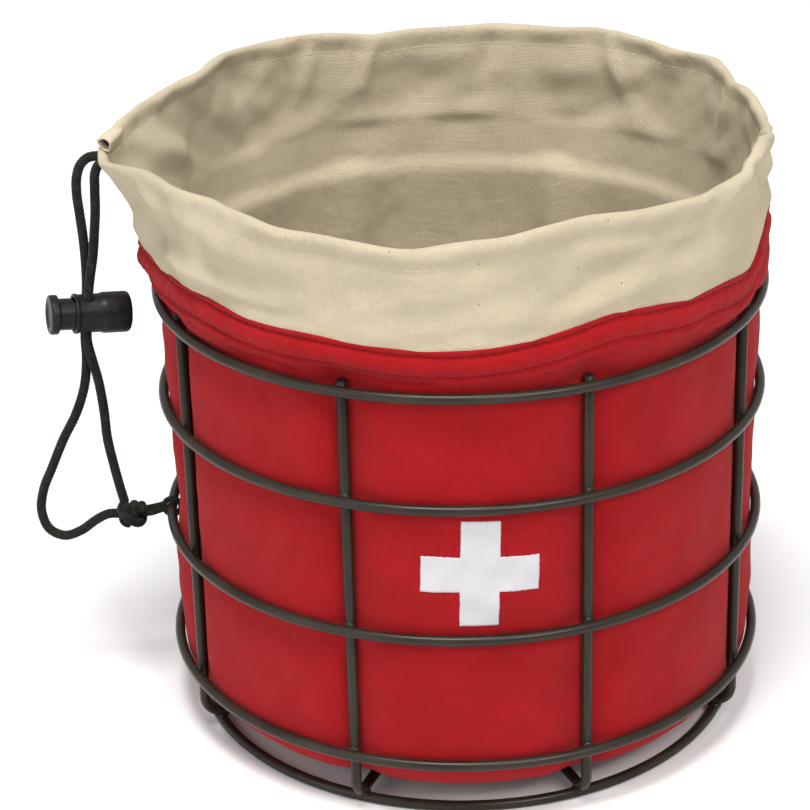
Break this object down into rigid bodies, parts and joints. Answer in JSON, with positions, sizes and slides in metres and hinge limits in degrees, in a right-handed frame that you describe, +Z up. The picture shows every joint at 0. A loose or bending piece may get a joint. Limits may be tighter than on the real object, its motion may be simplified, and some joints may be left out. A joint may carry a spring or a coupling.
{
  "type": "fabric storage bag in wire basket",
  "caption": "Round cotton storage bag with a cream lining, turned-up cuff, drawcord and cord lock, held open by a welded wire basket.",
  "frame": {"origin": "middle of the outline of basket and bag, without the drawcord and its lock, at the height of the surface it stands on", "axes": "+Z up; the picture's front is -Y, and the pinched rim with the drawcord is at -X"},
  "size_m": [0.2237, 0.1824, 0.1867],
  "materials": {
    "wire": "satin dark olive grey coated steel wire",
    "red_cotton": "plain woven red cotton",
    "cream_cotton": "unbleached cream cotton with small dark flecks",
    "cross_print": "flat white print on the cloth",
    "stitching": "sewing thread",
    "cord": "black braided cord",
    "lock_plastic": "black moulded plastic, slightly shiny"
  },
  "bodies": {
    "bag_in_basket": {"wire_basket": "wire", "bag_outer": "red_cotton", "bag_lining": "cream_cotton", "draw_cord_left": "cord", "draw_cord_right": "cord", "cord_knot": "cord", "lock_barrel": "lock_plastic"},
    "plunger": {"lock_plunger": "lock_plastic"}
  },
  "joints": [
    {"name": "plunger_press", "type": "slide", "parent": "bag_in_basket", "child": "plunger", "axis": [0.9403, 0.3238, -0.1045], "range_m": [0, 0.003], "stiffness_N_per_m": 150, "springref_m": -0.004}
  ]
}
